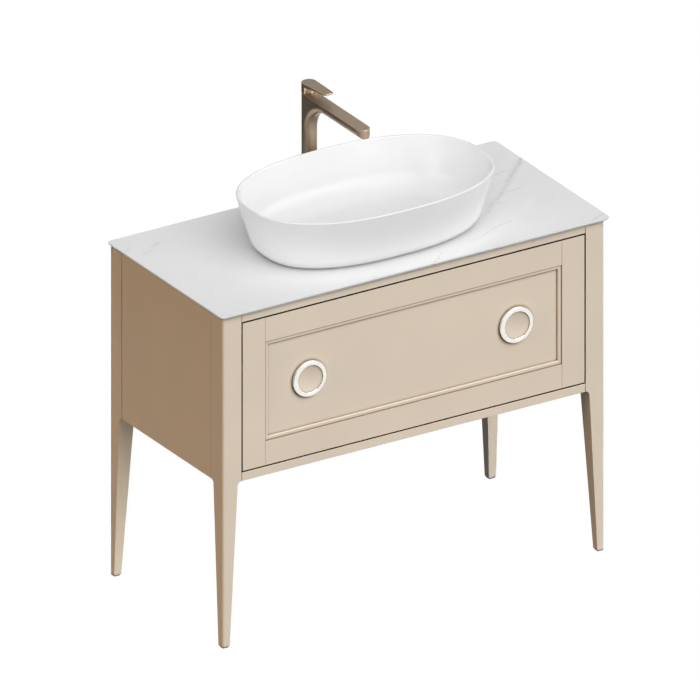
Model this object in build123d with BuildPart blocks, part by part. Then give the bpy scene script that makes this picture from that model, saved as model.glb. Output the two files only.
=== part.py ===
"""Washstand: an oval vessel basin and a tall mixer on a stone top, over a cabinet with one drawer.

Millimetres. +X is to the right, +Y towards the wall and +Z up. The origin is on the floor, under the
middle of the stone top. Every piece takes its size and its place from the values below.
"""

from build123d import *

import os
from math import cos, pi, sin

os.makedirs("parts", exist_ok=True)

# Stone top
counter_width = 1000.0
counter_depth = 475.0
counter_height = 800.0
counter_thickness = 12.0
counter_edge = 3.0  # upright part of the edge, above the under-bevel
counter_corner = 10.0

# Cabinet frame
side_overhang = 9.0
front_overhang = 10.5
post_width = 48.0
post_round = 6.0
leg_height = 391.0  # floor to the underside of the cabinet
foot_width = 18.0
shoulder_radius = 9.5
glide_thickness = 3.0
glide_margin = 1.5
side_thickness = 18.0
panel_groove = 1.5
front_rail_depth = 22.0
top_rail_height = 16.5
bottom_rail_height = 20.0
back_rail_thickness = 12.0
back_top_rail_height = 88.0
back_bottom_rail_height = 80.0
wall_hole_radius = 4.0
wall_hole_spacing = 600.0
wall_hole_drop = 43.0  # below the underside of the stone
bottom_thickness = 12.0
bottom_lift = 5.0
bearer_width = 40.0
bearer_height = 16.0
bearer_spacing = 300.0
batten_height = 60.0
edge_ease = 1.0

# Drawer front
reveal = 3.0
front_thickness = 22.0
stile_width = 58.0
frame_rail_height = 58.0
rabbet_width = 10.0
panel_depth = 6.5  # frame face to panel face
panel_play = 0.2
bead_width = 10.0
bead_step = 2.0  # frame face to bead face
bead_round = 3.5
joint_ease = 0.8

# Ring handles
handle_spacing = 532.0
handle_rise = 3.0  # above the middle of the panel
ring_radius = 43.0
ring_width = 11.0
ring_height = 9.0
ring_round = 5.0
ring_lip_round = 1.8
dish_play = 0.2
dish_rim = 6.0
dish_floor = 2.0
bolt_radius = 2.5
bolt_play = 0.2
bolt_head_radius = 5.0
bolt_head_height = 3.0

# Drawer box and its telescopic slides
box_back_gap = 30.5  # behind the box, to the back rails
box_height = 250.0
box_lift = 11.0  # above the lower edge of the drawer front
box_wall = 16.0
box_bottom = 8.0
notch_width = 160.0
notch_reach = 93.0  # forward of the drain axis
slide_thickness = 13.0
slide_height = 45.0
slide_setback = 2.0  # from both ends of the box
slide_gauge = 1.2
slide_play = 0.3
slide_rise = 95.0  # box underside to the slide's middle line
outer_lip = 10.0
inner_lip = 9.0

# Basin
basin_length = 600.0
basin_width = 374.0
basin_height = 132.0
basin_y = -28.0
oval_power = 2.4
oval_points = 24
wall_levels = 5
rim_width = 6.0
rim_round = 2.4
foot_inset_length = 38.0
foot_inset_width = 32.0
foot_round = 38.0
wall_curve = 1.15
floor_thickness = 14.0
bowl_inset_length = 36.0
bowl_inset_width = 30.0
bowl_curve = 1.3
floor_round = 60.0

# Basin waste
drain_offset = 11.0  # behind the basin's middle
drain_hole_radius = 22.5
flange_radius = 31.5
flange_thickness = 3.0
flange_play = 1.0
seat_depth = 3.0
seal_thickness = 2.0
tail_radius = 20.5
tail_bore = 16.0
tail_length = 77.0
thread_play = 0.3
plug_radius = 29.5
plug_thickness = 2.5
plug_crown = 1.5
plug_play = 0.3
stem_radius = 4.0
stem_length = 60.0
stem_play = 0.05
guide_radius = 7.0
guide_height = 20.0
guide_drop = 24.0  # flange underside to the guide's top
guide_rib = 3.0
waste_washer_radius = 32.0
waste_washer_thickness = 4.0
waste_nut_radius = 31.0
waste_nut_height = 12.0

# Bottle trap
trap_radius = 30.0
trap_height = 60.0
trap_drop = 66.0  # waste tail to the top of the trap
trap_collar = 8.0
trap_tube = 16.0
tube_bore = 14.0
trap_nut_radius = 27.0
trap_nut_height = 28.0
trap_nut_lip = 5.7
trap_stub = 48.0
pipe_neck = 15.5
pipe_neck_length = 20.0
cup_height = 65.0
cup_grip_radius = 33.0
cup_grip_height = 14.0
cup_round = 12.0

# Mixer
mixer_setback = 33.8  # from the back edge of the stone
base_ring_radius = 24.0
base_ring_height = 5.0
column_radius = 16.5
spout_height = 250.0  # stone to the top of the spout
spout_thickness = 21.5
spout_reach = 219.5
spout_round = 13.0
spout_ease = 0.8
flare_radius = 65.0
aerator_radius = 9.0
aerator_depth = 10.0
aerator_setback = 2.5
aerator_play = 0.1
shank_radius = 16.0
shank_length = 65.0
shank_play = 0.3
shank_hole_radius = 17.5
inlet_radius = 5.0
inlet_depth = 20.0
inlet_spacing = 15.0
mixer_washer_radius = 20.0
mixer_washer_thickness = 3.0
mixer_nut_radius = 23.0
mixer_nut_height = 12.0
cartridge_radius = 13.0
cartridge_play = 0.2
cartridge_height = 36.0
cartridge_nut_height = 5.0
cartridge_neck = 6.0
cartridge_depth = 43.0

# Mixer lever: rises are counted from the top of the spout
hub_play = 0.3
hub_radius = 14.0
pivot_rise = 4.6
pivot_radius = 2.0
pivot_play = 0.06
pivot_length = 32.0
lever_radius = 17.0
lever_reach = 84.0
lever_tip_width = 25.0
lever_tip_round = 7.0
lever_tip_thickness = 4.0
lever_back_rise = 24.6
lever_front_rise = 28.8
neck_rise = 16.0
skirt_rise = 1.0
skirt_front = 6.3  # forward of the pivot
skirt_back_rise = 7.5
lever_ease = 1.2

# Places that follow from the sizes
deck_z = counter_height - counter_thickness
body_half = counter_width / 2 - side_overhang
front_y = front_overhang - counter_depth / 2
back_y = counter_depth / 2
opening_half = body_half - post_width
inner_half = body_half - side_thickness
post_front_y = front_y + post_width
post_back_y = back_y - post_width
back_rail_y = back_y - back_rail_thickness
rail_back_y = front_y + front_rail_depth

front_half = opening_half - reveal
front_low = leg_height + bottom_rail_height + reveal
front_high = deck_z - top_rail_height - reveal
front_back_y = front_y + front_thickness
panel_face_y = front_y + panel_depth
frame_half = front_half - stile_width
frame_low = front_low + frame_rail_height
frame_high = front_high - frame_rail_height
handle_z = (frame_low + frame_high) / 2 + handle_rise

box_half = opening_half - slide_thickness
box_inner = box_half - box_wall
box_low = front_low + box_lift
box_floor = box_low + box_bottom
box_high = box_low + box_height
box_back_y = back_rail_y - box_back_gap
drain_y = basin_y + drain_offset
notch_half = notch_width / 2
notch_front_y = drain_y - notch_reach
slide_z = box_low + slide_rise
slide_front_y = front_back_y + slide_setback
slide_back_y = box_back_y - slide_setback

rim_z = counter_height + basin_height
floor_z = counter_height + floor_thickness
seal_z = floor_z - seat_depth
flange_z = seal_z + seal_thickness
flange_top = flange_z + flange_thickness
tail_z = flange_z - tail_length
trap_top = tail_z - trap_drop
trap_low = trap_top - trap_height
outlet_z = trap_top - trap_height / 2
stub_y = drain_y + trap_stub

mixer_y = back_y - mixer_setback
mixer_base_z = counter_height + base_ring_height
spout_top = counter_height + spout_height
spout_under = spout_top - spout_thickness
tip_y = mixer_y - spout_reach
pivot_z = spout_top + pivot_rise

SIDES = (("left", -1), ("right", 1))


def block(x, y, z, mode=Mode.ADD):
    """Adds or cuts a block that spans the x, y and z ranges, each given as two values in any order."""
    low = [min(span) for span in (x, y, z)]
    size = [abs(span[1] - span[0]) for span in (x, y, z)]
    with Locations(tuple(a + s / 2 for a, s in zip(low, size))):
        Box(*size, mode=mode)


def turned(centre, direction, outline, mode=Mode.ADD):
    """Revolves an outline of (radius, height) points about an axis square to X, heights along it."""
    across = Vector(1, 0, 0).cross(Vector(*direction))
    with BuildSketch(Plane(centre, x_dir=(1, 0, 0), z_dir=across)) as half:
        with BuildLine():
            Polyline(*outline, close=True)
        make_face()
    revolve(half.sketch, axis=Axis(centre, direction), mode=mode)


def save(piece, name):
    """Labels a finished piece and writes it as its own file."""
    piece.part.label = name
    export_step(piece.part, f"parts/{name}.step")


# Legs: each one solid up to the stone, square as a post and tapered on two inner faces below the cabinet
def leg_outline(plane, corner, inward):
    """Returns one side view of a leg, from its outer corner line to its tapered inner edge."""
    with BuildSketch(plane) as outline:
        with BuildLine():
            inner = corner + inward * post_width
            neck = corner + inward * (post_width - shoulder_radius)
            bend = shoulder_radius * (1 - cos(pi / 4))
            shoulder = ThreePointArc(
                (inner, leg_height),
                (neck + inward * bend, leg_height - bend),
                (neck, leg_height - shoulder_radius),
            )
            Polyline(
                shoulder @ 1,
                (corner + inward * foot_width, glide_thickness),
                (corner, glide_thickness),
                (corner, deck_z),
                (inner, deck_z),
                shoulder @ 0,
            )
        make_face()
    return outline.sketch


for row, end, corner_y in (("front", -1, front_y), ("back", 1, back_y)):
    for hand, side in SIDES:
        with BuildPart() as leg:
            extrude(leg_outline(Plane.XZ, side * body_half, -side), amount=counter_depth, both=True)
            side_view = leg_outline(Plane.YZ, corner_y, -end)
            extrude(side_view, amount=counter_width, both=True, mode=Mode.INTERSECT)
            upright = leg.edges().filter_by(Axis.Z)
            fillet(upright.sort_by_distance((side * body_half, corner_y, leg_height))[0], post_round)
        save(leg, f"{row}_{hand}_leg")

with BuildPart() as leg_glides:
    for end, corner_y in ((-1, front_y), (1, back_y)):
        for hand, side in SIDES:
            near, far = glide_margin, foot_width - glide_margin
            block(
                (side * (body_half - near), side * (body_half - far)),
                (corner_y - end * near, corner_y - end * far),
                (0, glide_thickness),
            )
    fillet(leg_glides.edges().filter_by(Axis.Z), glide_margin)
save(leg_glides, "leg_glides")

# Carcass panels and rails
for hand, side in SIDES:
    with BuildPart() as side_panel:
        block(
            (side * inner_half, side * body_half), (post_front_y, post_back_y), (leg_height, deck_z)
        )
        outer_face = side_panel.faces().sort_by(Axis.X)[-1 if side > 0 else 0]
        chamfer(outer_face.edges().filter_by(Axis.Z), panel_groove)
    save(side_panel, f"{hand}_side_panel")

with BuildPart() as front_top_rail:
    block((-opening_half, opening_half), (front_y, rail_back_y), (deck_z - top_rail_height, deck_z))
    fillet(front_top_rail.edges().filter_by(Axis.X).sort_by(Axis.Y)[0:2].sort_by(Axis.Z)[0], edge_ease)
    chamfer(front_top_rail.faces().sort_by(Axis.Y)[0].edges().filter_by(Axis.Z), joint_ease)
save(front_top_rail, "front_top_rail")

with BuildPart() as front_bottom_rail:
    block(
        (-opening_half, opening_half),
        (front_y, rail_back_y),
        (leg_height, leg_height + bottom_rail_height),
    )
    fillet(front_bottom_rail.edges().filter_by(Axis.X).group_by(Axis.Y)[0], edge_ease)
    chamfer(front_bottom_rail.faces().sort_by(Axis.Y)[0].edges().filter_by(Axis.Z), joint_ease)
save(front_bottom_rail, "front_bottom_rail")

with BuildPart() as back_top_rail:
    block((-opening_half, opening_half), (back_rail_y, back_y), (deck_z - back_top_rail_height, deck_z))
    with BuildSketch(Plane.XZ.offset(-back_y)):
        with Locations((0, deck_z - wall_hole_drop)):
            with GridLocations(wall_hole_spacing, 0, 2, 1):
                Circle(wall_hole_radius)
    extrude(amount=back_rail_thickness, mode=Mode.SUBTRACT)
save(back_top_rail, "back_top_rail")

with BuildPart() as back_bottom_rail:
    block(
        (-opening_half, opening_half),
        (back_rail_y, back_y),
        (leg_height, leg_height + back_bottom_rail_height),
    )
save(back_bottom_rail, "back_bottom_rail")

with BuildPart() as bottom_panel:
    bottom_z = leg_height + bottom_lift
    span_z = (bottom_z, bottom_z + bottom_thickness)
    block((-inner_half, inner_half), (rail_back_y, back_rail_y), span_z)
    for hand, side in SIDES:
        post_x = (side * opening_half, side * body_half)
        block(post_x, (front_y, post_front_y), span_z, mode=Mode.SUBTRACT)
        block(post_x, (post_back_y, back_y), span_z, mode=Mode.SUBTRACT)
save(bottom_panel, "bottom_panel")

with BuildPart() as counter_bearers:
    for hand, side in SIDES:
        middle = side * bearer_spacing / 2
        block(
            (middle - bearer_width / 2, middle + bearer_width / 2),
            (rail_back_y, back_rail_y),
            (deck_z - bearer_height, deck_z),
        )
save(counter_bearers, "counter_bearers")

for hand, side in SIDES:
    with BuildPart() as runner_batten:
        block(
            (side * opening_half, side * inner_half),
            (post_front_y, post_back_y),
            (slide_z - batten_height / 2, slide_z + batten_height / 2),
        )
    save(runner_batten, f"{hand}_runner_batten")


# Telescopic slides: three nested channels of folded sheet a side
def channel(side, web_at, lip_to, half_height):
    """Adds a channel: web and lip positions are counted from the cabinet towards the drawer box."""
    step = slide_gauge if lip_to > web_at else -slide_gauge
    web_x = side * (opening_half - web_at)
    inside_x = side * (opening_half - web_at - step)
    lip_x = side * (opening_half - lip_to)
    span_y = (slide_front_y, slide_back_y)
    block((web_x, lip_x), span_y, (slide_z - half_height, slide_z + half_height))
    hollow = half_height - slide_gauge
    block((inside_x, lip_x), span_y, (slide_z - hollow, slide_z + hollow), mode=Mode.SUBTRACT)


nesting = slide_gauge + slide_play
with BuildPart() as slide_outers:
    for hand, side in SIDES:
        channel(side, 0, outer_lip, slide_height / 2)
save(slide_outers, "slide_outers")

for hand, side in SIDES:
    with BuildPart() as slide_middle:
        channel(side, nesting, outer_lip + nesting, slide_height / 2 - nesting)
    save(slide_middle, f"{hand}_slide_middle")

with BuildPart() as slide_inners:
    for hand, side in SIDES:
        channel(side, slide_thickness, slide_thickness - inner_lip, slide_height / 2 - 2 * nesting)
save(slide_inners, "slide_inners")

# Drawer front: stiles and rails lapped at the corners, with a panel and mitred beads inside the frame
for hand, side in SIDES:
    with BuildPart() as stile:
        block((side * frame_half, side * front_half), (front_y, front_back_y), (front_low, front_high))
        block(
            (side * frame_half, side * (frame_half + rabbet_width)),
            (panel_face_y, front_back_y),
            (front_low, front_high),
            mode=Mode.SUBTRACT,
        )
        face = stile.faces().sort_by(Axis.Y)[0]
        outer_edge = face.edges().filter_by(Axis.Z).sort_by(Axis.X)[-1 if side > 0 else 0]
        fillet(face.edges().filter_by(Axis.X) + [outer_edge], edge_ease)
    save(stile, f"drawer_{hand}_stile")

for name, outer_z, frame_z in (("top", front_high, frame_high), ("bottom", front_low, frame_low)):
    lap_half = frame_half + rabbet_width
    lip_z = frame_z + (rabbet_width if outer_z > frame_z else -rabbet_width)
    with BuildPart() as frame_rail:
        block((-frame_half, frame_half), (front_y, panel_face_y), (outer_z, frame_z))
        block((-lap_half, lap_half), (panel_face_y, front_back_y), (outer_z, lip_z))
        face = frame_rail.faces().sort_by(Axis.Y)[0]
        chamfer(face.edges().filter_by(Axis.Z), joint_ease)
        long_edges = frame_rail.faces().sort_by(Axis.Y)[0].edges().filter_by(Axis.X)
        fillet(long_edges.sort_by(Axis.Z)[-1 if outer_z > frame_z else 0], edge_ease)
    save(frame_rail, f"drawer_{name}_rail")

handle_places = [(side * handle_spacing / 2, handle_z) for hand, side in SIDES]
with BuildPart() as drawer_centre_panel:
    panel_half = frame_half + rabbet_width - panel_play
    panel_rise = rabbet_width - panel_play
    block(
        (-panel_half, panel_half),
        (panel_face_y, front_back_y),
        (frame_low - panel_rise, frame_high + panel_rise),
    )
    with BuildSketch(Plane.XZ.offset(-front_back_y)):
        with Locations(*handle_places):
            Circle(bolt_radius + bolt_play)
    extrude(amount=front_thickness, mode=Mode.SUBTRACT)
save(drawer_centre_panel, "drawer_centre_panel")


def bead(outer_start, outer_end, inner_end, inner_start):
    """Adds one mitred strip on the panel face, given by its four corners."""
    with BuildSketch(Plane.XZ.offset(-panel_face_y)) as outline:
        with BuildLine():
            Polyline(outer_start, outer_end, inner_end, inner_start, close=True)
        make_face()
    extrude(outline.sketch, amount=panel_depth - bead_step)


bead_half = frame_half - bead_width
bead_low = frame_low + bead_width
bead_high = frame_high - bead_width
panel_middle = (0, panel_face_y, handle_z)
with BuildPart() as panel_beads_level:
    for outer_z, inner_z in ((frame_high, bead_high), (frame_low, bead_low)):
        bead((-frame_half, outer_z), (frame_half, outer_z), (bead_half, inner_z), (-bead_half, inner_z))
    faces = panel_beads_level.faces().filter_by(Axis.Y).group_by(Axis.Y)[0]
    inner_edges = [f.edges().filter_by(Axis.X).sort_by_distance(panel_middle)[0] for f in faces]
    fillet(inner_edges, bead_round)
save(panel_beads_level, "panel_beads_level")

with BuildPart() as panel_beads_upright:
    for hand, side in SIDES:
        bead(
            (side * frame_half, frame_low),
            (side * frame_half, frame_high),
            (side * bead_half, bead_high),
            (side * bead_half, bead_low),
        )
    faces = panel_beads_upright.faces().filter_by(Axis.Y).group_by(Axis.Y)[0]
    inner_edges = [f.edges().filter_by(Axis.Z).sort_by_distance(panel_middle)[0] for f in faces]
    fillet(inner_edges, bead_round)
save(panel_beads_upright, "panel_beads_upright")

# Ring handles: a polished ring round a shallow dish, held by one bolt from inside the drawer
FORWARD = (0, -1, 0)
UPWARD = (0, 0, 1)
WALLWARD = (0, 1, 0)
dish_radius = ring_radius - ring_width - dish_play
dish_bowl = dish_rim - dish_floor
dish_sphere = (dish_radius**2 + dish_bowl**2) / (2 * dish_bowl)
for hand, side in SIDES:
    handle_centre = (side * handle_spacing / 2, panel_face_y, handle_z)
    with BuildPart() as handle_ring:
        bore = ring_radius - ring_width
        turned(
            handle_centre,
            FORWARD,
            [(bore, 0), (ring_radius, 0), (ring_radius, ring_height), (bore, ring_height)],
        )
        fillet(handle_ring.faces().sort_by(Axis.Y)[0].edges().sort_by(SortBy.RADIUS)[-1], ring_round)
        fillet(handle_ring.faces().sort_by(Axis.Y)[0].edges().sort_by(SortBy.RADIUS)[0], ring_lip_round)
    save(handle_ring, f"{hand}_handle_ring")

    with BuildPart() as handle_dish:
        turned(handle_centre, FORWARD, [(0, 0), (dish_radius, 0), (dish_radius, dish_rim), (0, dish_rim)])
        with Locations((handle_centre[0], panel_face_y - dish_floor - dish_sphere, handle_z)):
            Sphere(dish_sphere, mode=Mode.SUBTRACT)
    save(handle_dish, f"{hand}_handle_dish")

bolt_length = front_back_y - panel_face_y + box_wall
with BuildPart() as handle_bolts:
    for x, z in handle_places:
        turned(
            (x, panel_face_y, z),
            WALLWARD,
            [
                (0, 0),
                (bolt_radius, 0),
                (bolt_radius, bolt_length),
                (bolt_head_radius, bolt_length),
                (bolt_head_radius, bolt_length + bolt_head_height),
                (0, bolt_length + bolt_head_height),
            ],
        )
save(handle_bolts, "handle_bolts")

# Drawer box with a notch from the back that clears the trap and the mixer's tail
box_z = (box_floor, box_high)
with BuildPart() as drawer_box_front:
    block((-box_inner, box_inner), (front_back_y, front_back_y + box_wall), box_z)
    with BuildSketch(Plane.XZ.offset(-front_back_y)):
        with Locations(*handle_places):
            Circle(bolt_radius + bolt_play)
    extrude(amount=-box_wall, mode=Mode.SUBTRACT)
save(drawer_box_front, "drawer_box_front")

for hand, side in SIDES:
    with BuildPart() as box_side:
        block((side * box_inner, side * box_half), (front_back_y, box_back_y), box_z)
        fillet(box_side.faces().sort_by(Axis.Z)[-1].edges().filter_by(Axis.Y), edge_ease)
    save(box_side, f"drawer_{hand}_side")

wall_outer = notch_half + box_wall
with BuildPart() as drawer_backs:
    for hand, side in SIDES:
        block((side * wall_outer, side * box_inner), (box_back_y - box_wall, box_back_y), box_z)
save(drawer_backs, "drawer_backs")

with BuildPart() as notch_side_walls:
    for hand, side in SIDES:
        block((side * notch_half, side * wall_outer), (notch_front_y - box_wall, box_back_y), box_z)
save(notch_side_walls, "notch_side_walls")

with BuildPart() as notch_front_wall:
    block((-notch_half, notch_half), (notch_front_y - box_wall, notch_front_y), box_z)
save(notch_front_wall, "notch_front_wall")

with BuildPart() as drawer_bottom:
    block((-box_half, box_half), (front_back_y, box_back_y), (box_low, box_floor))
    block(
        (-notch_half, notch_half),
        (notch_front_y, box_back_y),
        (box_low, box_floor),
        mode=Mode.SUBTRACT,
    )
save(drawer_bottom, "drawer_bottom")

# Stone top: a thin upright edge over a bevel on the front and the two ends
bevel = counter_thickness - counter_edge
with BuildPart() as countertop:
    with BuildSketch(Plane.XY.offset(deck_z + bevel)):
        RectangleRounded(counter_width, counter_depth, counter_corner)
    extrude(amount=counter_edge)
    with BuildSketch(Plane.XY.offset(deck_z + bevel)) as upper:
        RectangleRounded(counter_width, counter_depth, counter_corner)
    with BuildSketch(Plane.XY.offset(deck_z)) as lower:
        with Locations((0, bevel / 2)):
            RectangleRounded(counter_width - 2 * bevel, counter_depth - bevel, counter_corner)
    loft([upper.sketch, lower.sketch], ruled=True)
    with Locations((0, drain_y, counter_height)):
        Hole(drain_hole_radius)
    with Locations((0, mixer_y, counter_height)):
        Hole(shank_hole_radius)
save(countertop, "countertop")


# Basin: super-ellipse sections, drawn in towards the foot outside and rounded into a bowl inside
def oval(half_length, half_width, height):
    """Returns a flat super-ellipse centred on the basin at a height."""
    points = []
    for step in range(oval_points):
        turn = 2 * pi * step / oval_points
        across, along = half_length * cos(turn), half_width * sin(turn)
        reach = (abs(cos(turn)) ** oval_power + abs(sin(turn)) ** oval_power) ** (1 / oval_power)
        points.append((across / reach, along / reach))
    with BuildSketch(Plane((0, basin_y, height))) as outline:
        with BuildLine():
            Spline(*points, periodic=True)
        make_face()
    return outline.sketch


def oval_stack(low_z, margin, inset_length, inset_width, curve):
    """Returns ovals from low_z to the rim, with an inset that fades by a power curve to a margin."""
    stack = []
    for level in range(wall_levels + 1):
        rise = level / wall_levels
        fade = (1 - rise) ** curve
        stack.append(
            oval(
                basin_length / 2 - margin - inset_length * fade,
                basin_width / 2 - margin - inset_width * fade,
                low_z + (rim_z - low_z) * rise,
            )
        )
    return stack


with BuildPart() as basin:
    loft(oval_stack(counter_height, 0, foot_inset_length, foot_inset_width, wall_curve))
    fillet(basin.edges().sort_by(Axis.Z)[0], foot_round)
    bowl = oval_stack(floor_z, rim_width, bowl_inset_length, bowl_inset_width, bowl_curve)
    loft(bowl, mode=Mode.SUBTRACT)
    fillet(basin.faces().sort_by(Axis.Z)[-1].edges(), rim_round)
    fillet(basin.faces().filter_by(Axis.Z).sort_by(Axis.Z)[1].edges(), floor_round)
    with Locations((0, drain_y, floor_z)):
        CounterBoreHole(drain_hole_radius, flange_radius + flange_play, seat_depth)
save(basin, "basin")

# Basin waste: flange on a seal in the basin, tail through the stone, washer and nut below, sliding plug
drain = (0, drain_y, 0)
with BuildPart() as waste_seal:
    turned(
        drain,
        UPWARD,
        [
            (drain_hole_radius, seal_z),
            (flange_radius, seal_z),
            (flange_radius, flange_z),
            (drain_hole_radius, flange_z),
        ],
    )
save(waste_seal, "waste_seal")

with BuildPart() as waste_body:
    turned(
        drain,
        UPWARD,
        [
            (tail_bore, tail_z),
            (tail_radius, tail_z),
            (tail_radius, flange_z),
            (flange_radius, flange_z),
            (flange_radius, flange_z + flange_thickness / 2),
            (flange_radius - flange_thickness / 2, flange_top),
            (tail_bore + flange_thickness, flange_top),
            (tail_bore, flange_z),
        ],
    )
    guide_z = (flange_z - guide_drop - guide_height, flange_z - guide_drop)
    rib_reach = (tail_bore + tail_radius) / 2
    block((-rib_reach, rib_reach), (drain_y - guide_rib / 2, drain_y + guide_rib / 2), guide_z)
    block((-guide_rib / 2, guide_rib / 2), (drain_y - rib_reach, drain_y + rib_reach), guide_z)
    with Locations((0, drain_y, sum(guide_z) / 2)):
        Cylinder(guide_radius, guide_height)
        Cylinder(stem_radius + stem_play, guide_height, mode=Mode.SUBTRACT)
save(waste_body, "waste_body")

plug_z = flange_top + plug_play
plug_edge_z = plug_z + plug_thickness
crown_sphere = (plug_radius**2 + plug_crown**2) / (2 * plug_crown)
with BuildPart() as waste_plug:
    with BuildSketch(Plane.XZ.offset(-drain_y)):
        with BuildLine():
            crown = RadiusArc((plug_radius, plug_edge_z), (0, plug_edge_z + plug_crown), -crown_sphere)
            Polyline(
                crown @ 1,
                (0, plug_z - stem_length),
                (stem_radius, plug_z - stem_length),
                (stem_radius, plug_z),
                (plug_radius - plug_crown, plug_z),
                (plug_radius, plug_z + plug_crown),
                crown @ 0,
            )
        make_face()
    revolve(axis=Axis(drain, UPWARD))
save(waste_plug, "waste_plug")

waste_washer_z = deck_z - waste_washer_thickness
with BuildPart() as waste_washer:
    with Locations((0, drain_y, waste_washer_z + waste_washer_thickness / 2)):
        Cylinder(waste_washer_radius, waste_washer_thickness)
        Hole(tail_radius + thread_play)
save(waste_washer, "waste_washer")


def hex_nut(centre_y, top_z, corner_radius, bore, height):
    """Adds a hexagon nut below top_z."""
    with BuildSketch(Plane((0, centre_y, top_z - height))) as outline:
        RegularPolygon(corner_radius, 6)
        Circle(bore, mode=Mode.SUBTRACT)
    extrude(outline.sketch, amount=height)


with BuildPart() as waste_nut:
    hex_nut(drain_y, waste_washer_z, waste_nut_radius, tail_radius + thread_play, waste_nut_height)
save(waste_nut, "waste_nut")

# Bottle trap
with BuildPart() as trap_body:
    turned(
        drain,
        UPWARD,
        [
            (tube_bore, tail_z),
            (tail_radius, tail_z),
            (tail_radius, tail_z - trap_collar),
            (trap_tube, tail_z - trap_collar),
            (trap_tube, trap_top),
            (trap_radius, trap_top),
            (trap_radius, trap_low),
            (0, trap_low),
            (0, outlet_z),
            (tube_bore, outlet_z),
        ],
    )
    stub = (0, drain_y, outlet_z)
    turned(stub, WALLWARD, [(0, 0), (tail_radius, 0), (tail_radius, trap_stub), (0, trap_stub)])
    turned(
        stub,
        WALLWARD,
        [(0, 0), (tube_bore, 0), (tube_bore, trap_stub), (0, trap_stub)],
        mode=Mode.SUBTRACT,
    )
    turned(
        drain,
        UPWARD,
        [(0, outlet_z), (tube_bore, outlet_z), (tube_bore, tail_z), (0, tail_z)],
        mode=Mode.SUBTRACT,
    )
save(trap_body, "trap_body")

with BuildPart() as trap_cup:
    cup_low = trap_low - cup_height
    turned(
        drain,
        UPWARD,
        [
            (0, cup_low),
            (trap_radius, cup_low),
            (trap_radius, trap_low - cup_grip_height),
            (cup_grip_radius, trap_low - cup_grip_height),
            (cup_grip_radius, trap_low),
            (0, trap_low),
        ],
    )
    fillet(trap_cup.edges().sort_by(Axis.Z)[0], cup_round)
save(trap_cup, "trap_cup")

nut_outline = [
    (trap_tube + thread_play, -trap_collar - trap_nut_lip),
    (trap_nut_radius, -trap_collar - trap_nut_lip),
    (trap_nut_radius, trap_nut_height - trap_collar - trap_nut_lip),
    (tail_radius + thread_play, trap_nut_height - trap_collar - trap_nut_lip),
    (tail_radius + thread_play, -trap_collar),
    (trap_tube + thread_play, -trap_collar),
]
with BuildPart() as trap_nuts:
    turned((0, drain_y, tail_z), UPWARD, nut_outline)
    turned((0, stub_y, outlet_z), FORWARD, nut_outline)
save(trap_nuts, "trap_nuts")

with BuildPart() as trap_outlet_pipe:
    pipe_length = back_y - stub_y
    turned(
        (0, stub_y, outlet_z),
        WALLWARD,
        [
            (tube_bore, 0),
            (tail_radius, 0),
            (tail_radius, trap_collar),
            (pipe_neck, trap_collar),
            (pipe_neck, pipe_neck_length),
            (trap_tube, pipe_neck_length),
            (trap_tube, pipe_length),
            (tube_bore, pipe_length),
        ],
    )
save(trap_outlet_pipe, "trap_outlet_pipe")

# Mixer body: column and spout in one casting, round in plan at both ends and rounded along its underside
with BuildPart() as mixer_body:
    column_front = mixer_y - column_radius
    with BuildSketch(Plane.YZ):
        with BuildLine():
            flare_centre = (column_front - flare_radius, spout_under - flare_radius)
            flare = CenterArc(flare_centre, flare_radius, 0, 90)
            Polyline(
                flare @ 0,
                (column_front, mixer_base_z),
                (mixer_y + column_radius, mixer_base_z),
                (mixer_y + column_radius, spout_top),
                (tip_y - column_radius, spout_top),
                (tip_y - column_radius, spout_under),
                flare @ 1,
            )
        make_face()
    extrude(amount=column_radius, both=True)
    under_face = mixer_body.faces().filter_by(Axis.Z).sort_by(Axis.Z)[1]
    flare_face = mixer_body.faces().filter_by(GeomType.CYLINDER)[0]
    column_face = mixer_body.faces().filter_by(Axis.Y).sort_by(Axis.Y)[1]
    under_edges = under_face.edges() + flare_face.edges() + column_face.edges()
    fillet(under_edges.filter_by(Axis.X, reverse=True), spout_round)
    with BuildSketch(Plane.XY):
        with Locations((0, (mixer_y + tip_y) / 2)):
            SlotCenterToCenter(spout_reach, 2 * column_radius, rotation=90)
    extrude(amount=spout_top, mode=Mode.INTERSECT)
    fillet(mixer_body.faces().sort_by(Axis.Z)[-1].edges(), spout_ease)
    with Locations((0, mixer_y, spout_top)):
        Hole(cartridge_radius + cartridge_play, cartridge_depth)
    with Locations((0, tip_y, spout_under)):
        Cylinder(
            aerator_radius,
            aerator_depth,
            align=(Align.CENTER, Align.CENTER, Align.MIN),
            mode=Mode.SUBTRACT,
        )
save(mixer_body, "mixer_body")

with BuildPart() as aerator:
    with Locations((0, tip_y, spout_under + (aerator_setback + aerator_depth) / 2)):
        Cylinder(aerator_radius - aerator_play, aerator_depth - aerator_setback)
save(aerator, "aerator")

mixer = (0, mixer_y, 0)
with BuildPart() as mixer_base_ring:
    turned(
        mixer,
        UPWARD,
        [
            (shank_radius + shank_play, counter_height),
            (base_ring_radius, counter_height),
            (base_ring_radius, mixer_base_z),
            (shank_radius + shank_play, mixer_base_z),
        ],
    )
    fillet(mixer_base_ring.edges().group_by(Axis.Z)[-1].sort_by(SortBy.RADIUS)[-1], edge_ease)
save(mixer_base_ring, "mixer_base_ring")

with BuildPart() as mixer_shank:
    with Locations((0, mixer_y, mixer_base_z - shank_length / 2)):
        Cylinder(shank_radius, shank_length)
    with BuildSketch(Plane((0, mixer_y, mixer_base_z - shank_length))):
        with GridLocations(inlet_spacing, 0, 2, 1):
            Circle(inlet_radius)
    extrude(amount=inlet_depth, mode=Mode.SUBTRACT)
save(mixer_shank, "mixer_shank")

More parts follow.
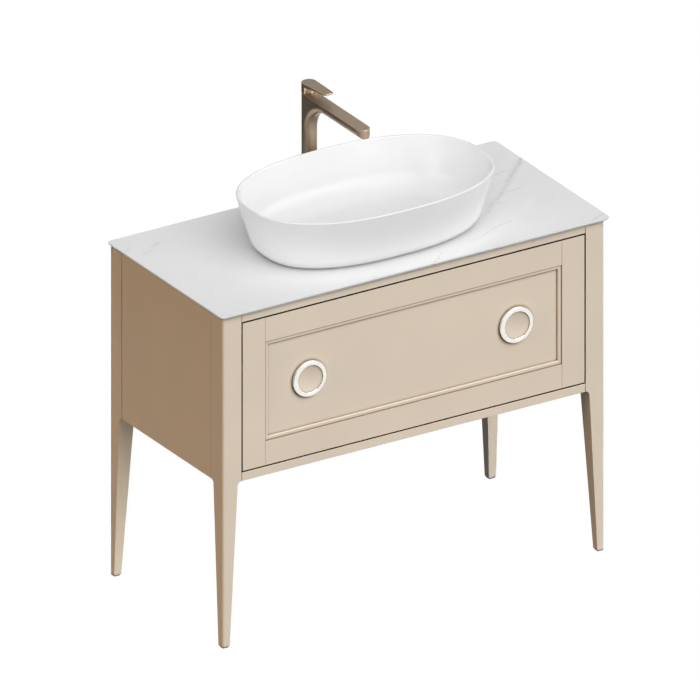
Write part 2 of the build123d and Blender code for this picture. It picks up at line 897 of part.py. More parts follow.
mixer_washer_z = deck_z - mixer_washer_thickness
with BuildPart() as mixer_washer:
    with Locations((0, mixer_y, mixer_washer_z + mixer_washer_thickness / 2)):
        Cylinder(mixer_washer_radius, mixer_washer_thickness)
        Hole(shank_radius + shank_play)
save(mixer_washer, "mixer_washer")

with BuildPart() as mixer_nut:
    hex_nut(mixer_y, mixer_washer_z, mixer_nut_radius, shank_radius + shank_play, mixer_nut_height)
save(mixer_nut, "mixer_nut")

cartridge_z = spout_top - cartridge_depth
cartridge_top = cartridge_z + cartridge_height
with BuildPart() as cartridge:
    turned(
        mixer,
        UPWARD,
        [
            (0, cartridge_z),
            (cartridge_radius, cartridge_z),
            (cartridge_radius, cartridge_top),
            (cartridge_neck, cartridge_top),
            (cartridge_neck, spout_top),
            (0, spout_top),
        ],
    )
save(cartridge, "cartridge")

with BuildPart() as cartridge_nut:
    turned(
        mixer,
        UPWARD,
        [
            (cartridge_neck + cartridge_play, cartridge_top),
            (cartridge_radius, cartridge_top),
            (cartridge_radius, cartridge_top + cartridge_nut_height),
            (cartridge_neck + cartridge_play, cartridge_top + cartridge_nut_height),
        ],
    )
save(cartridge_nut, "cartridge_nut")

# Turning hub: a ball on the mixer with a cross pin that carries the lever
with BuildPart() as lever_hub:
    with Locations((0, mixer_y, pivot_z)):
        Sphere(hub_radius)
        Cylinder(pivot_radius, pivot_length, rotation=(0, 90, 0))
    split(bisect_by=Plane.XY.offset(spout_top + hub_play), keep=Keep.TOP)
save(lever_hub, "lever_hub")

# Lever: a tapered paddle that caps the ball, with a round skirt down the back of it
with BuildPart() as lever:
    lever_front_y = mixer_y - lever_reach
    tip_offset = lever_tip_width / 2 - lever_tip_round
    with BuildSketch(Plane.XY.offset(spout_top)):
        with Locations((0, mixer_y)):
            Circle(lever_radius)
        with Locations(*[(side * tip_offset, lever_front_y + lever_tip_round) for hand, side in SIDES]):
            Circle(lever_tip_round)
        make_hull()
    extrude(amount=lever_front_rise)
    back = mixer_y + lever_radius
    top_back = (back, spout_top + lever_back_rise)
    top_front = (lever_front_y, spout_top + lever_front_rise)
    under_front = (lever_front_y, spout_top + lever_front_rise - lever_tip_thickness)
    with BuildSketch(Plane.YZ):
        with BuildLine():
            sweep_line = TangentArc(
                under_front,
                (mixer_y - skirt_front, spout_top + neck_rise),
                tangent=(top_back[0] - top_front[0], top_back[1] - top_front[1]),
            )
            Polyline(
                sweep_line @ 1,
                (mixer_y - skirt_front, spout_top + skirt_rise),
                (mixer_y, spout_top + skirt_rise),
                (back, spout_top + skirt_back_rise),
                top_back,
                top_front,
                sweep_line @ 0,
            )
        make_face()
    extrude(amount=lever_radius, both=True, mode=Mode.INTERSECT)
    fillet(lever.faces().sort_by(Axis.Z)[-1].edges(), lever_ease)
    with Locations((0, mixer_y, pivot_z)):
        Sphere(hub_radius + hub_play, mode=Mode.SUBTRACT)
        pin_bore = pivot_radius + pivot_play
        Cylinder(pin_bore, pivot_length + 2 * hub_play, rotation=(0, 90, 0), mode=Mode.SUBTRACT)
save(lever, "lever")
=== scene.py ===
"""Looks of the washstand: finishes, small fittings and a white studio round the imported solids."""

import functools
import logging
import math
from dataclasses import dataclass, replace
from enum import Enum

import bmesh
import bpy
from mathutils import Euler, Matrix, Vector


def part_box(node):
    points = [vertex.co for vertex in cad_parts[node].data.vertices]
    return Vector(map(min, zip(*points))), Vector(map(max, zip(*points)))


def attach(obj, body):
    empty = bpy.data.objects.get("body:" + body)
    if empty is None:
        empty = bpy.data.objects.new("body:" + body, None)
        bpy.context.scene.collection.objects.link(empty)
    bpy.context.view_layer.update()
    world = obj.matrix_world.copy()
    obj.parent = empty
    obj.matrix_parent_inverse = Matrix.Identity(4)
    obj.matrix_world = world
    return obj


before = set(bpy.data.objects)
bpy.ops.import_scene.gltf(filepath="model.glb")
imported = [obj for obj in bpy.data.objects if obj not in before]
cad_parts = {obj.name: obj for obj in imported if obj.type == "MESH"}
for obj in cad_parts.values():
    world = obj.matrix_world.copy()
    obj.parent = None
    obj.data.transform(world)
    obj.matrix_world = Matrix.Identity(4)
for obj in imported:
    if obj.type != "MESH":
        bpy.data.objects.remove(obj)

Colour = tuple[float, float, float]
Spot = tuple[float, float]
Socket = bpy.types.NodeSocket
Material = bpy.types.Material
Piece = bpy.types.Object
Shape = bmesh.types.BMesh

log = logging.getLogger("washstand")
MM = 0.001
MIDDLE: Spot = (0.3, 0.7)  # the range in which most values of a noise lie
WIDE: Spot = (0.25, 0.75)  # the range in which nearly all of them lie
ABOVE_ALL = 2.0  # a height in metres above the whole object
WHITE = (1.0, 1.0, 1.0, 1.0)
TURN_STEPS, HOOP_STEPS = 40, 32  # straight runs in one turn of a thread and in a hoop
THREAD_HALF, THREAD_SINK, THREAD_CREST = 0.42, 0.1, 0.4  # a ridge's sizes, in shares of the pitch
RIB_DEPTH, RIB_WIDTH, RIB_EASE = 2.0 * MM, 2.6 * MM, 0.6 * MM
RIB_OUT = 0.2  # how far a rib's middle stands out of its nut, in shares of its depth


class Grain(Enum):
    """The way fibres or scratches run: how much a pattern is drawn out on X, Y and Z."""

    ALONG_X = (0.06, 1.0, 1.0)
    ALONG_Y = (1.0, 0.06, 1.0)
    ALONG_Z = (1.0, 1.0, 0.06)


class Axis(Enum):
    """The way a turned piece's axis runs."""

    LEVEL = (0, 1, 0)
    UPRIGHT = (0, 0, 1)


class Hand(Enum):
    """One of a mirrored pair of solids."""

    LEFT = "left"
    RIGHT = "right"


def both(pattern: str) -> list[str]:
    """Returns the names of a left and a right solid, from a pattern with a gap for the hand."""
    return [pattern.format(hand.value) for hand in Hand]


def placed(shape: Shape, name: str, material: Material) -> Piece:
    """Puts a finished shape into the scene.

    Args:
        shape: The shape, which is used up.
        name: The new object's name.
        material: Its material.

    Returns:
        The object.
    """
    mesh = bpy.data.meshes.new(name)
    shape.to_mesh(mesh)
    shape.free()
    mesh.materials.append(material)
    piece = bpy.data.objects.new(name, mesh)
    bpy.context.scene.collection.objects.link(piece)
    return piece


class NodeGraph:
    """A node tree, with short calls for its nodes and links."""

    def __init__(self, tree: bpy.types.NodeTree) -> None:
        """Empties the tree, to start from there."""
        self.tree = tree
        tree.nodes.clear()

    def add(self, kind: str, **settings: object) -> bpy.types.Node:
        """Adds a node.

        Args:
            kind: The node's type name.
            settings: Attributes of the node.

        Returns:
            The new node.
        """
        node = self.tree.nodes.new(kind)
        for key, value in settings.items():
            setattr(node, key, value)
        return node

    def join(self, source: Socket, target: Socket) -> None:
        """Links two sockets."""
        self.tree.links.new(source, target)

    def sums(self, operation: str, first: Socket, second: Socket | float) -> Socket:
        """Adds a maths node.

        Args:
            operation: The node's operation, such as MULTIPLY.
            first: The first value.
            second: The second value, as a socket or a number.

        Returns:
            The result.
        """
        node = self.add("ShaderNodeMath", operation=operation)
        self.join(first, node.inputs[0])
        if isinstance(second, (int, float)):
            node.inputs[1].default_value = second
        else:
            self.join(second, node.inputs[1])
        return node.outputs["Value"]


class FinishGraph(NodeGraph):
    """A material's node tree, with short calls for what the finishes share."""

    def __init__(self, name: str) -> None:
        """Starts a material with one principled shader.

        Args:
            name: The material's name.
        """
        self.material: Material = bpy.data.materials.new(name)
        self.material.use_nodes = True
        super().__init__(self.material.node_tree)
        self.shader = self.add("ShaderNodeBsdfPrincipled")
        output = self.add("ShaderNodeOutputMaterial")
        self.join(self.shader.outputs["BSDF"], output.inputs["Surface"])
        coords = self.add("ShaderNodeTexCoord").outputs
        self.place: Socket = coords["Object"]
        self.normal: Socket = coords["Normal"]

    def fix(self, **values: object) -> None:
        """Sets the shader's own sockets, with underscores for the spaces in their names."""
        for key, value in values.items():
            self.shader.inputs[key.replace("_", " ")].default_value = value

    def drive(self, source: Socket, target: str) -> None:
        """Links a varying value to one of the shader's sockets."""
        self.join(source, self.shader.inputs[target])

    def mapped(self, scale: Colour, turn: Colour = (0, 0, 0), shift: Colour = (0, 0, 0)) -> Socket:
        """Turns, scales and shifts the object's own coordinates.

        Args:
            scale: Factors along X, Y and Z.
            turn: Turns about X, Y and Z in degrees.
            shift: Shift along X, Y and Z in metres.

        Returns:
            The vector socket.
        """
        mapping = self.add("ShaderNodeMapping", vector_type="TEXTURE")
        mapping.inputs["Location"].default_value = shift
        mapping.inputs["Rotation"].default_value = Euler([math.radians(a) for a in turn])
        mapping.inputs["Scale"].default_value = [1 / s for s in scale]
        self.join(self.place, mapping.inputs["Vector"])
        return mapping.outputs["Vector"]

    def noise(self, scale: float, detail: float = 4.0, vector: Socket | None = None) -> Socket:
        """Adds a noise pattern.

        Args:
            scale: Cells per metre.
            detail: Octaves of finer noise.
            vector: Coordinates, or None for the object's own.

        Returns:
            The value socket.
        """
        noise = self.add("ShaderNodeTexNoise")
        noise.inputs["Scale"].default_value = scale
        noise.inputs["Detail"].default_value = detail
        self.join(vector or self.place, noise.inputs["Vector"])
        return noise.outputs["Fac"]

    def span(self, value: Socket, source: Spot, target: Spot) -> Socket:
        """Maps a range of values to another, without passing its ends.

        Args:
            value: The socket to map.
            source: Lowest and highest value in.
            target: Values out for those two.

        Returns:
            The mapped socket.
        """
        node = self.add("ShaderNodeMapRange", clamp=True)
        for key, number in zip(("From Min", "From Max", "To Min", "To Max"), (*source, *target)):
            node.inputs[key].default_value = number
        self.join(value, node.inputs["Value"])
        return node.outputs["Result"]

    def mixed(self, first: Socket, second: Socket, share: float) -> Socket:
        """Adds two patterns.

        Args:
            first: The main pattern.
            second: The other pattern.
            share: The main pattern's share, of 1 in all.

        Returns:
            The sum.
        """
        main, rest = self.sums("MULTIPLY", first, share), self.sums("MULTIPLY", second, 1 - share)
        return self.sums("ADD", main, rest)

    def ramp(self, value: Socket, source: Spot, low: Colour, high: Colour) -> Socket:
        """Turns a value into colours.

        Args:
            value: The socket that runs from 0 to 1.
            source: Values at which the two colours are pure.
            low: Colour at the first of them.
            high: Colour at the second.

        Returns:
            The colour socket.
        """
        node = self.add("ShaderNodeValToRGB")
        for element, position, colour in zip(node.color_ramp.elements, source, (low, high)):
            element.position = position
            element.color = (*colour, 1.0)
        self.join(value, node.inputs["Fac"])
        return node.outputs["Color"]

    def blend(self, factor: Socket, under: Socket, over: Colour) -> Socket:
        """Lays a colour over another by a mask.

        Args:
            factor: The mask.
            under: Colour where the mask is 0.
            over: Colour where the mask is 1.

        Returns:
            The mixed colour.
        """
        node = self.add("ShaderNodeMix", data_type="RGBA")
        self.join(factor, node.inputs["Factor"])
        self.join(under, node.inputs["A"])
        node.inputs["B"].default_value = (*over, 1.0)
        return node.outputs["Result"]

    def bump(self, height: Socket, strength: float, distance: float) -> None:
        """Roughens the shader's surface.

        Args:
            height: The pattern of heights.
            strength: How much of the bump shows.
            distance: The height's full size in metres.
        """
        node = self.add("ShaderNodeBump")
        node.inputs["Strength"].default_value = strength
        node.inputs["Distance"].default_value = distance
        self.join(height, node.inputs["Height"])
        self.drive(node.outputs["Normal"], "Normal")

    def roughen(self, pattern: Socket, ends: Spot) -> None:
        """Varies the shader's roughness from one end to the other with a noise pattern."""
        self.drive(self.span(pattern, MIDDLE, ends), "Roughness")

    def edges(self, radius: float, low: float, high: float) -> Socket:
        """Finds the edges of a piece.

        Args:
            radius: Reach of an edge in metres.
            low: Bend at which the mask starts.
            high: Bend at which the mask is full.

        Returns:
            A mask that is 1 on edges and 0 on flats.
        """
        rounded = self.add("ShaderNodeBevel", samples=6)
        rounded.inputs["Radius"].default_value = radius
        straight = self.add("ShaderNodeNewGeometry")
        product = self.add("ShaderNodeVectorMath", operation="DOT_PRODUCT")
        self.join(rounded.outputs["Normal"], product.inputs[0])
        self.join(straight.outputs["Normal"], product.inputs[1])
        return self.span(product.outputs["Value"], (1 - high, 1 - low), (1.0, 0.0))

    def crevices(self, reach: float, deep: float, open_from: float) -> Socket:
        """Finds narrow gaps and inner corners.

        Args:
            reach: How near another face has to be, in metres.
            deep: Openness at which the mask is full.
            open_from: Openness from which there is none.

        Returns:
            A mask that is 1 in gaps and 0 on open faces.
        """
        node = self.add("ShaderNodeAmbientOcclusion", samples=8)
        node.inputs["Distance"].default_value = reach
        return self.span(node.outputs["AO"], (deep, open_from), (1.0, 0.0))

    def facing(self, axis: str) -> Socket:
        """Finds the faces that are square to an axis.

        Args:
            axis: The axis, as X, Y or Z.

        Returns:
            A mask that is 1 on those faces and 0 on faces along the axis.
        """
        parts = self.add("ShaderNodeSeparateXYZ")
        self.join(self.normal, parts.inputs["Vector"])
        return self.span(self.sums("ABSOLUTE", parts.outputs[axis], 0.0), (0.5, 0.9), (0.0, 1.0))


@dataclass(frozen=True)
class Finish:
    """The look of a surface. Each kind of finish draws its own nodes."""

    name: str

    @functools.cache
    def material(self) -> Material:
        """Makes the finish's material once.

        Returns:
            The material.
        """
        graph = FinishGraph(self.name)
        self.draw(graph)
        return graph.material

    def draw(self, graph: FinishGraph) -> None:
        """Adds the finish's nodes.

        Args:
            graph: The material's nodes.
        """
        raise NotImplementedError


@dataclass(frozen=True)
class Outline:
    """A dark line round an upright rectangle, where one solid of the front meets another. It serves
    as a dark joint line, and round the drawer front as a painted shadow of the gap.
    """

    low: Spot
    high: Spot
    inside: float
    outside: float
    soft: float = 0.4 * MM

    def mask(self, graph: FinishGraph) -> Socket:
        """Draws the line.

        Args:
            graph: The material's nodes.

        Returns:
            A mask that is 1 from the line's inner reach to its outer one.
        """
        parts = graph.add("ShaderNodeSeparateXYZ")
        graph.join(graph.place, parts.inputs["Vector"])
        beyond = []
        for axis, low, high in zip("XZ", self.low, self.high):
            from_middle = graph.sums("SUBTRACT", parts.outputs[axis], (low + high) / 2)
            from_middle = graph.sums("ABSOLUTE", from_middle, 0.0)
            beyond.append(graph.sums("SUBTRACT", from_middle, (high - low) / 2))
        off_edge = graph.sums("MAXIMUM", *beyond)
        off_line = graph.sums("SUBTRACT", off_edge, (self.outside - self.inside) / 2)
        off_line = graph.sums("ABSOLUTE", off_line, 0.0)
        half = (self.outside + self.inside) / 2
        return graph.span(off_line, (half - self.soft, half + self.soft), (1.0, 0.0))


@dataclass(frozen=True)
class Lacquer(Finish):
    """Satin lacquer over smooth board, with a painted highlight on eased edges, painted shade in
    gaps and inner corners, and dark joint lines.
    """

    colour: Colour
    # The edge colour is a painted highlight on eased edges.
    edge: Colour
    # The seam colour paints shade into inner corners as well as dark joint lines.
    seam: Colour
    # The gap colour paints the shade in gaps and the shadow line round the drawer front.
    gap: Colour
    seams: tuple[Outline, ...] = ()
    gaps: tuple[Outline, ...] = ()
    roughness: Spot = (0.37, 0.47)
    specular: float = 0.2
    mottle: float = 0.025
    edge_reach: float = 1.6 * MM
    gap_reach: float = 8.0 * MM

    def draw(self, graph: FinishGraph) -> None:
        """Adds the finish's nodes.

        Args:
            graph: The material's nodes.
        """
        clouds = graph.noise(5.0, detail=3.0)
        low = tuple(c * (1 - self.mottle) for c in self.colour)
        high = tuple(c * (1 + self.mottle) for c in self.colour)
        tone = graph.ramp(clouds, MIDDLE, low, high)
        # painted highlight on the eased edges
        tone = graph.blend(graph.edges(self.edge_reach, low=0.03, high=0.25), tone, self.edge)
        # painted shade in inner corners, to which the dark joint lines are added
        corners = graph.crevices(self.gap_reach, deep=0.55, open_from=0.96)
        # painted shade deep in gaps
        gap_shade_mask = graph.crevices(self.gap_reach, deep=0.25, open_from=0.6)
        for outline in self.seams:
            corners = graph.sums("MAXIMUM", corners, outline.mask(graph))
        # painted shadow line of the drawer gap, on front faces and in narrow gaps only
        for outline in self.gaps:
            narrow = graph.crevices(self.gap_reach, deep=0.6, open_from=0.9)
            shown = graph.sums("MAXIMUM", graph.facing("Y"), narrow)
            line = graph.sums("MULTIPLY", outline.mask(graph), shown)
            gap_shade_mask = graph.sums("MAXIMUM", gap_shade_mask, line)
        tone = graph.blend(corners, tone, self.seam)
        graph.drive(graph.blend(gap_shade_mask, tone, self.gap), "Base Color")
        graph.fix(Specular_IOR_Level=self.specular)  # what stays where a link is dropped
        # no gloss where the gap shade is painted
        gloss = graph.span(gap_shade_mask, (0.0, 1.0), (self.specular, 0.0))
        graph.drive(gloss, "Specular IOR Level")
        graph.roughen(clouds, self.roughness)
        graph.bump(graph.noise(420.0, detail=2.0), strength=0.12, distance=0.3 * MM)


@dataclass(frozen=True)
class Board(Finish):
    """Wood-based board with a printed or sealed grain."""

    light: Colour
    dark: Colour
    grain: Grain
    roughness: Spot = (0.68, 0.52)
    tones: Spot = (0.32, 0.68)

    def draw(self, graph: FinishGraph) -> None:
        """Adds the finish's nodes.

        Args:
            graph: The material's nodes.
        """
        along = graph.mapped(self.grain.value)
        fibres = graph.noise(70.0, detail=6.0, vector=along)
        pores = graph.noise(520.0, detail=3.0, vector=along)
        grain = graph.mixed(fibres, pores, share=0.75)
        graph.drive(graph.ramp(grain, self.tones, self.dark, self.light), "Base Color")
        graph.roughen(grain, self.roughness)
        graph.bump(pores, strength=0.2, distance=0.3 * MM)


@dataclass(frozen=True)
class Vein:
    """One vein in the stone: a line on the top, which noise sways and breaks."""

    start: Spot
    end: Spot
    width: float
    strength: float
    sway: float = 0.006
    patchy: float = 0.7


@dataclass(frozen=True)
class VeinedStone(Finish):
    """Polished white stone with soft clouds, grey veins and a shade under what stands on it."""

    white: Colour
    grey: Colour
    shade: Colour
    veins: tuple[Vein, ...]
    cloud_turn: float = 40.0
    cloud_stretch: Colour = (0.55, 1.6, 1.0)
    cloud_range: Spot = (0.48, 0.8)
    cloud_strength: float = 0.16
    vein_falloff: float = 1.6
    vein_fade: Spot = (0.42, 0.54)
    break_range: Spot = (0.40, 0.58)
    roughness: Spot = (0.22, 0.34)
    shade_reach: float = 45.0 * MM

    def draw(self, graph: FinishGraph) -> None:
        """Adds the finish's nodes.

        Args:
            graph: The material's nodes.
        """
        bend = graph.noise(16.0, detail=5.0)
        flecks = graph.noise(75.0, detail=6.0)
        drawn_out = graph.mapped(self.cloud_stretch, turn=(0, 0, self.cloud_turn))
        clouds = graph.noise(5.0, detail=5.0, vector=drawn_out)
        total = graph.span(clouds, self.cloud_range, (0.0, self.cloud_strength))
        for vein in self.veins:
            total = graph.sums("MAXIMUM", total, self.line(graph, vein, bend, flecks))
        tone = graph.ramp(total, (0.0, 1.0), self.white, self.grey)
        # painted contact shadow on the stone near what stands on it
        near = graph.crevices(self.shade_reach, deep=0.35, open_from=1.0)
        graph.drive(graph.blend(near, tone, self.shade), "Base Color")
        graph.drive(graph.span(total, (0.0, 1.0), self.roughness), "Roughness")
        graph.bump(graph.noise(160.0, detail=3.0), strength=0.04, distance=0.2 * MM)
        graph.fix(Specular_IOR_Level=0.35)

    def line(self, graph: FinishGraph, vein: Vein, bend: Socket, flecks: Socket) -> Socket:
        """Draws one vein.

        Args:
            graph: The material's nodes.
            vein: The vein's place and size.
            bend: The noise that sways it.
            flecks: The noise that breaks it up.

        Returns:
            A mask that is the vein's strength on its line and 0 away from it.
        """
        start, end = Vector(vein.start), Vector(vein.end)
        middle, run = (start + end) / 2, end - start
        turn = math.degrees(math.atan2(run.y, run.x))
        parts = graph.add("ShaderNodeSeparateXYZ")
        on_line = graph.mapped(scale=(1, 1, 1), turn=(0, 0, turn), shift=(*middle, 0))
        graph.join(on_line, parts.inputs["Vector"])
        sway = graph.span(bend, WIDE, (-vein.sway, vein.sway))
        off_line = graph.sums("ABSOLUTE", graph.sums("ADD", parts.outputs["Y"], sway), 0.0)
        core = graph.span(off_line, (0.0, vein.width), (1.0, 0.0))
        core = graph.sums("POWER", core, self.vein_falloff)
        along = graph.sums("ABSOLUTE", parts.outputs["X"], 0.0)
        fade = tuple(run.length * share for share in self.vein_fade)
        inside = graph.span(along, fade, (1.0, 0.0))
        broken = graph.span(flecks, self.break_range, (1 - vein.patchy, 1.0))
        soft = graph.sums("MULTIPLY", graph.sums("MULTIPLY", core, inside), broken)
        return graph.sums("MULTIPLY", soft, vein.strength)


@dataclass(frozen=True)
class Glaze(Finish):
    """Glossy white glaze with a slight waviness, and a shade where it comes near its neighbours."""

    colour: Colour
    pool: Colour
    shade: Colour
    roughness: Spot = (0.16, 0.22)
    shade_reach: float = 60.0 * MM

    def draw(self, graph: FinishGraph) -> None:
        """Adds the finish's nodes.

        Args:
            graph: The material's nodes.
        """
        pools = graph.noise(9.0, detail=2.0)
        tone = graph.ramp(pools, MIDDLE, self.pool, self.colour)
        # painted shade where the glaze comes near its neighbours, such as at the foot on the stone
        near = graph.crevices(self.shade_reach, deep=0.15, open_from=0.9)
        graph.drive(graph.blend(near, tone, self.shade), "Base Color")
        graph.roughen(pools, self.roughness)
        graph.bump(graph.noise(18.0, detail=1.0), strength=0.03, distance=1.0 * MM)
        graph.fix(IOR=1.42, Coat_Weight=0.12, Coat_Roughness=0.06)


@dataclass(frozen=True)
class BrushedMetal(Finish):
    """Metal with fine scratches along one way and a painted highlight on its edges."""

    colour: Colour
    dark: Colour
    # The edge colour is a painted highlight on edges.
    edge: Colour
    grain: Grain
    roughness: Spot
    edge_reach: float = 1.8 * MM

    def draw(self, graph: FinishGraph) -> None:
        """Adds the finish's nodes.

        Args:
            graph: The material's nodes.
        """
        scratches = graph.noise(900.0, detail=3.0, vector=graph.mapped(self.grain.value))
        clouds = graph.noise(30.0, detail=2.0)
        tone = graph.ramp(scratches, WIDE, self.dark, self.colour)
        # painted highlight on edges
        highlit_edges = graph.edges(self.edge_reach, low=0.02, high=0.22)
        graph.drive(graph.blend(highlit_edges, tone, self.edge), "Base Color")
        graph.roughen(graph.mixed(scratches, clouds, share=0.6), self.roughness)
        graph.bump(scratches, strength=0.08, distance=0.2 * MM)
        graph.fix(Metallic=1.0)


@dataclass(frozen=True)
class PolishedMetal(Finish):
    """Bright plated metal with faint wipe marks, a painted darker reflection at its edges and
    painted shade beside its neighbours.
    """

    colour: Colour
    shade: Colour
    # The edge colour is a painted darker reflection at edges.
    edge: Colour
    # The gap colour is painted shade beside neighbouring solids.
    gap: Colour
    roughness: Spot
    edge_reach: float = 2.5 * MM
    gap_reach: float = 8.0 * MM

    def draw(self, graph: FinishGraph) -> None:
        """Adds the finish's nodes.

        Args:
            graph: The material's nodes.
        """
        wipes = graph.noise(60.0, detail=3.0)
        tone = graph.ramp(wipes, MIDDLE, self.shade, self.colour)
        # painted darker reflection at the edges
        tone = graph.blend(graph.edges(self.edge_reach, low=0.01, high=0.12), tone, self.edge)
        # painted shade beside neighbouring solids
        near = graph.crevices(self.gap_reach, deep=0.5, open_from=0.95)
        graph.drive(graph.blend(near, tone, self.gap), "Base Color")
        graph.roughen(wipes, self.roughness)
        graph.bump(graph.noise(240.0, detail=1.0), strength=0.02, distance=0.2 * MM)
        graph.fix(Metallic=1.0)


@dataclass(frozen=True)
class Moulded(Finish):
    """Moulded plastic or rubber with a fine texture."""

    colour: Colour
    shade: Colour
    roughness: Spot
    texture: float = 0.1

    def draw(self, graph: FinishGraph) -> None:
        """Adds the finish's nodes.

        Args:
            graph: The material's nodes.
        """
        flow = graph.noise(35.0, detail=3.0)
        graph.drive(graph.ramp(flow, MIDDLE, self.shade, self.colour), "Base Color")
        graph.roughen(flow, self.roughness)
        graph.bump(graph.noise(700.0, detail=2.0), self.texture, distance=0.3 * MM)


# The paler beige is a painted highlight for eased edges.
BEIGE, EDGE_HIGHLIGHT_BEIGE = (0.666, 0.577, 0.472), (0.74, 0.66, 0.56)
# The seam brown paints shade into inner corners and dark joint lines; the gap brown paints the
# shadow in gaps.
SEAM_AND_SHADE_BROWN, GAP_SHADOW_BROWN = (0.31, 0.24, 0.175), (0.012, 0.007, 0.004)


def outline(first: str, last: str, inside: float, outside: float) -> Outline:
    """Lays a dark line round the front of one or two solids.

    Args:
        first: The solid at the rectangle's left and lower edge.
        last: The solid at its right and upper edge.
        inside: The line's reach inwards from the edge.
        outside: Its reach outwards.

    Returns:
        The line.
    """
    low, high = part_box(first)[0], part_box(last)[1]
    return Outline((low.x, low.z), (high.x, high.z), inside, outside)


# painted shadow line of the gap round the drawer front
DRAWER_GAP_SHADOW = outline("drawer_left_stile", "drawer_right_stile", 0.6 * MM, 2.6 * MM)
BEAD_SEAM = outline("panel_beads_level", "panel_beads_level", 2.4 * MM, 0.0)
CABINET = Lacquer("cabinet_lacquer", BEIGE, EDGE_HIGHLIGHT_BEIGE, SEAM_AND_SHADE_BROWN, GAP_SHADOW_BROWN, gaps=(DRAWER_GAP_SHADOW,))
BEADING = Lacquer("bead_lacquer", BEIGE, BEIGE, SEAM_AND_SHADE_BROWN, GAP_SHADOW_BROWN, seams=(BEAD_SEAM,))
CARCASS = Board("carcass_panel", (0.50, 0.41, 0.30), (0.42, 0.33, 0.23), Grain.ALONG_X)
DRAWER_BOX = Board(
    "drawer_panel", (0.60, 0.53, 0.43), (0.54, 0.46, 0.36), Grain.ALONG_Y, roughness=(0.58, 0.42)
)
STONE = VeinedStone(
    "stone_top",
    (0.83, 0.83, 0.835),
    (0.42, 0.41, 0.40),
    (0.79, 0.79, 0.79),
    (  # start, end, width, strength, sway, patchy
        Vein((0.497, 0.124), (0.396, 0.025), 0.0038, 0.80, 0.004, 0.5),
        Vein((0.487, 0.120), (0.406, 0.040), 0.0030, 0.50, 0.005, 0.7),
        Vein((0.502, 0.130), (0.472, 0.097), 0.0090, 0.80, 0.004, 0.6),
        Vein((0.495, 0.122), (0.400, 0.030), 0.0200, 0.32, 0.006, 0.6),
        Vein((0.410, 0.036), (0.325, -0.040), 0.0040, 0.50, 0.006, 0.8),
        Vein((0.330, -0.036), (0.260, -0.092), 0.0100, 0.55, 0.006, 0.9),
        Vein((0.277, -0.079), (0.192, -0.138), 0.0050, 0.65, 0.005, 0.8),
        Vein((0.408, 0.036), (0.270, -0.084), 0.0150, 0.32, 0.005, 0.6),
        Vein((0.275, -0.080), (0.192, -0.138), 0.0110, 0.32, 0.005, 0.6),
        Vein((0.404, 0.083), (0.437, 0.094), 0.0028, 0.60, 0.003),
        Vein((0.376, -0.006), (0.424, -0.001), 0.0028, 0.60, 0.003),
        Vein((0.311, -0.041), (0.342, -0.045), 0.0032, 0.70, 0.003),
        Vein((0.310, -0.137), (0.173, -0.183), 0.0036, 0.65),
        Vein((0.104, -0.193), (0.039, -0.240), 0.0035, 0.60),
        Vein((0.390, -0.100), (0.448, -0.090), 0.0040, 0.30),
        Vein((0.456, -0.229), (0.506, -0.209), 0.0050, 0.50, 0.003),
        Vein((-0.400, 0.180), (-0.465, 0.130), 0.016, 0.22, 0.008, 0.95),
        Vein((-0.470, 0.190), (-0.500, 0.165), 0.012, 0.22, 0.008, 0.95),
    ),
)
BASIN_GLAZE = Glaze("basin_glaze", (0.88, 0.88, 0.885), (0.86, 0.86, 0.865), (0.74, 0.74, 0.74))
# The third bronze colour is a painted highlight for edges.
BRONZE, BRONZE_SHADE, BRONZE_EDGE_HIGHLIGHT = (0.43, 0.333, 0.24), (0.375, 0.29, 0.208), (0.70, 0.61, 0.51)
SPOUT_BRONZE = BrushedMetal(
    "spout_bronze", BRONZE, BRONZE_SHADE, BRONZE_EDGE_HIGHLIGHT, Grain.ALONG_Y, roughness=(0.32, 0.46)
)
TURNED_BRONZE = BrushedMetal(
    "turned_bronze",
    (0.45, 0.37, 0.30),
    (0.39, 0.32, 0.26),
    BRONZE_EDGE_HIGHLIGHT,
    Grain.ALONG_Z,
    roughness=(0.34, 0.48),
)
# Colours: main, wipe marks, painted darker reflection at edges, painted shade beside neighbours.
CHROME = PolishedMetal(
    "bright_chrome",
    (0.92, 0.92, 0.93),
    (0.88, 0.88, 0.89),
    (0.62, 0.62, 0.63),
    (0.30, 0.27, 0.23),
    roughness=(0.05, 0.10),
)
RING_CHROME = PolishedMetal(
    "ring_chrome",
    (0.92, 0.90, 0.86),
    (0.85, 0.83, 0.78),
    (0.45, 0.43, 0.40),
    (0.42, 0.38, 0.33),
    roughness=(0.06, 0.11),
)
ZINC = BrushedMetal(
    "plated_steel",
    (0.62, 0.63, 0.65),
    (0.52, 0.53, 0.55),
    (0.72, 0.73, 0.75),
    Grain.ALONG_Y,
    roughness=(0.32, 0.46),
)
BRASS = BrushedMetal(
    "machined_brass",
    (0.70, 0.55, 0.28),
    (0.58, 0.44, 0.21),
    (0.80, 0.66, 0.38),
    Grain.ALONG_X,
    roughness=(0.24, 0.38),
)
RUBBER = Moulded(
    "seal_rubber", (0.035, 0.035, 0.036), (0.02, 0.02, 0.021), roughness=(0.70, 0.80), texture=0.3
)
PALE_PLASTIC = Moulded(
    "trap_plastic", (0.82, 0.82, 0.82), (0.78, 0.78, 0.78), roughness=(0.27, 0.37)
)
BLACK_PLASTIC = Moulded(
    "glide_plastic", (0.07, 0.065, 0.06), (0.05, 0.047, 0.044), roughness=(0.50, 0.60), texture=0.2
)


